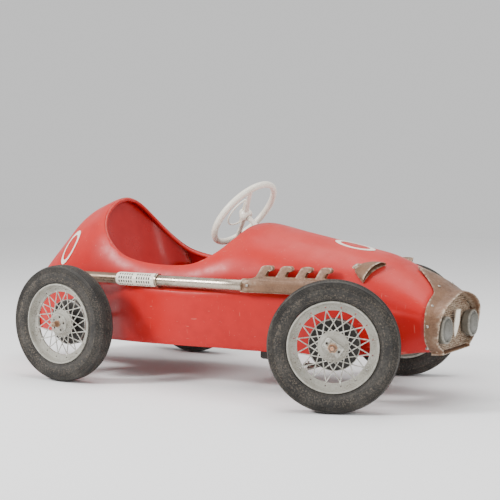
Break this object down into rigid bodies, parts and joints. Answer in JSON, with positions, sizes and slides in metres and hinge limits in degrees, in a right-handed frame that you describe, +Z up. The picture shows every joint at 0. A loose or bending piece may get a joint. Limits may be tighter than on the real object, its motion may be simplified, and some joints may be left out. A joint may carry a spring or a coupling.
{
  "type": "pedal car",
  "caption": "Single-seater racing pedal car with a moulded red body, an open cockpit, imitation wire wheels, an exhaust along one side and working steering, pedals and rear drive.",
  "frame": {"origin": "on the floor, below the middle of the car's length and width", "axes": "+X to the nose, +Y to the car's left, +Z up"},
  "size_m": [1.2354, 0.639, 0.4788],
  "materials": {
    "body_red": "worn moulded red",
    "trim": "worn bronze",
    "grille_metal": "worn bronze slats",
    "badge_cream": "plain",
    "lamp_metal": "dull grey",
    "lamp_lens": "clouded",
    "pipe_metal": "tarnished",
    "cream_plastic": "aged cream",
    "seat_red": "worn moulded red",
    "chassis_steel": "black enamel",
    "bright_steel": "dull",
    "column_metal": "cream",
    "tyre": "dusty",
    "wheel_grey": "aged grey",
    "drum_black": "satin",
    "nut_metal": "rusty",
    "pedal_rubber": "matte"
  },
  "bodies": {
    "chassis": {"body_shell": "body_red", "nose_cowl": "trim", "grille": "grille_metal", "badge_plate": "badge_cream", "headlamp_body_left": "lamp_metal", "headlamp_body_right": "lamp_metal", "headlamp_lens_left": "lamp_lens", "headlamp_lens_right": "lamp_lens", "air_scoop_left": "trim", "air_scoop_right": "trim", "exhaust_pipe": "pipe_metal", "exhaust_sleeve": "cream_plastic", "exhaust_manifold": "trim", "tail_cap": "trim", "seat": "seat_red", "chassis_rail_left": "chassis_steel", "chassis_rail_right": "chassis_steel", "cross_member_rear": "chassis_steel", "crank_boom": "chassis_steel", "rear_axle_bearing_left": "chassis_steel", "rear_axle_bearing_right": "chassis_steel", "front_axle_beam": "chassis_steel", "kingpin_left": "bright_steel", "kingpin_right": "bright_steel", "column_foot": "chassis_steel", "column_bush": "chassis_steel", "drive_chain": "chassis_steel"},
    "steering": {"steering_column": "column_metal", "steering_wheel": "cream_plastic", "horn_ring": "cream_plastic", "pitman_arm": "chassis_steel"},
    "tie_rod": {"tie_rod": "bright_steel"},
    "knuckle_left": {"stub_axle_left": "chassis_steel"},
    "front_wheel_left": {"front_tyre_left": "tyre", "front_wheel_left": "wheel_grey", "front_drum_left": "drum_black", "front_hub_nut_left": "nut_metal"},
    "knuckle_right": {"stub_axle_right": "chassis_steel"},
    "front_wheel_right": {"front_tyre_right": "tyre", "front_wheel_right": "wheel_grey", "front_drum_right": "drum_black", "front_hub_nut_right": "nut_metal"},
    "rear_axle": {"rear_axle": "bright_steel", "rear_sprocket": "chassis_steel", "rear_tyre_left": "tyre", "rear_wheel_left": "wheel_grey", "rear_drum_left": "drum_black", "rear_hub_nut_left": "nut_metal"},
    "rear_wheel_right": {"rear_tyre_right": "tyre", "rear_wheel_right": "wheel_grey", "rear_drum_right": "drum_black", "rear_hub_nut_right": "nut_metal"},
    "crank": {"crankset": "bright_steel", "chainring": "chassis_steel"},
    "pedal_left": {"pedal_left": "pedal_rubber"},
    "pedal_right": {"pedal_right": "pedal_rubber"}
  },
  "joints": [
    {"name": "steering", "type": "hinge", "parent": "chassis", "child": "steering", "pos_m": [0.37775, 0, 0.1185], "axis": [-0.7569, 0, 0.6536], "range_deg": [-52, 4]},
    {"name": "knuckle_left_turn", "type": "hinge", "parent": "chassis", "child": "knuckle_left", "pos_m": [0.39575, 0.171, 0.14], "axis": [0, 0, 1], "range_deg": [-52, 4]},
    {"name": "knuckle_right_turn", "type": "hinge", "parent": "chassis", "child": "knuckle_right", "pos_m": [0.39575, -0.171, 0.14], "axis": [0, 0, 1], "range_deg": [-52, 4]},
    {"name": "tie_rod_slide", "type": "slide", "parent": "chassis", "child": "tie_rod", "axis": [0, 1, 0], "range_m": [-0.0041, 0.0532]},
    {"name": "front_left_spin", "type": "hinge", "parent": "knuckle_left", "child": "front_wheel_left", "pos_m": [0.3628, 0.245, 0.14], "axis": [-0.4067, 0.9135, 0], "continuous": true},
    {"name": "front_right_spin", "type": "hinge", "parent": "knuckle_right", "child": "front_wheel_right", "pos_m": [0.4287, -0.245, 0.14], "axis": [-0.4067, 0.9135, 0], "continuous": true},
    {"name": "rear_axle_spin", "type": "hinge", "parent": "chassis", "child": "rear_axle", "pos_m": [-0.29725, 0, 0.14], "axis": [0, 1, 0], "continuous": true},
    {"name": "rear_right_spin", "type": "hinge", "parent": "rear_axle", "child": "rear_wheel_right", "pos_m": [-0.29725, -0.2695, 0.14], "axis": [0, 1, 0], "continuous": true},
    {"name": "crank_spin", "type": "hinge", "parent": "chassis", "child": "crank", "pos_m": [0.23275, 0, 0.15], "axis": [0, 1, 0], "continuous": true},
    {"name": "pedal_left_pivot", "type": "hinge", "parent": "crank", "child": "pedal_left", "pos_m": [0.2815, 0.08, 0.21963], "axis": [0, 1, 0], "continuous": true},
    {"name": "pedal_right_pivot", "type": "hinge", "parent": "crank", "child": "pedal_right", "pos_m": [0.184, -0.08, 0.08037], "axis": [0, 1, 0], "continuous": true}
  ],
  "couplings": [
    {"joint": "knuckle_left_turn", "follows": "steering", "ratio": 1},
    {"joint": "knuckle_right_turn", "follows": "steering", "ratio": 1},
    {"joint": "tie_rod_slide", "follows": "steering", "m_per_rad": -0.0585},
    {"joint": "crank_spin", "follows": "rear_axle_spin", "ratio": 0.45833}
  ]
}
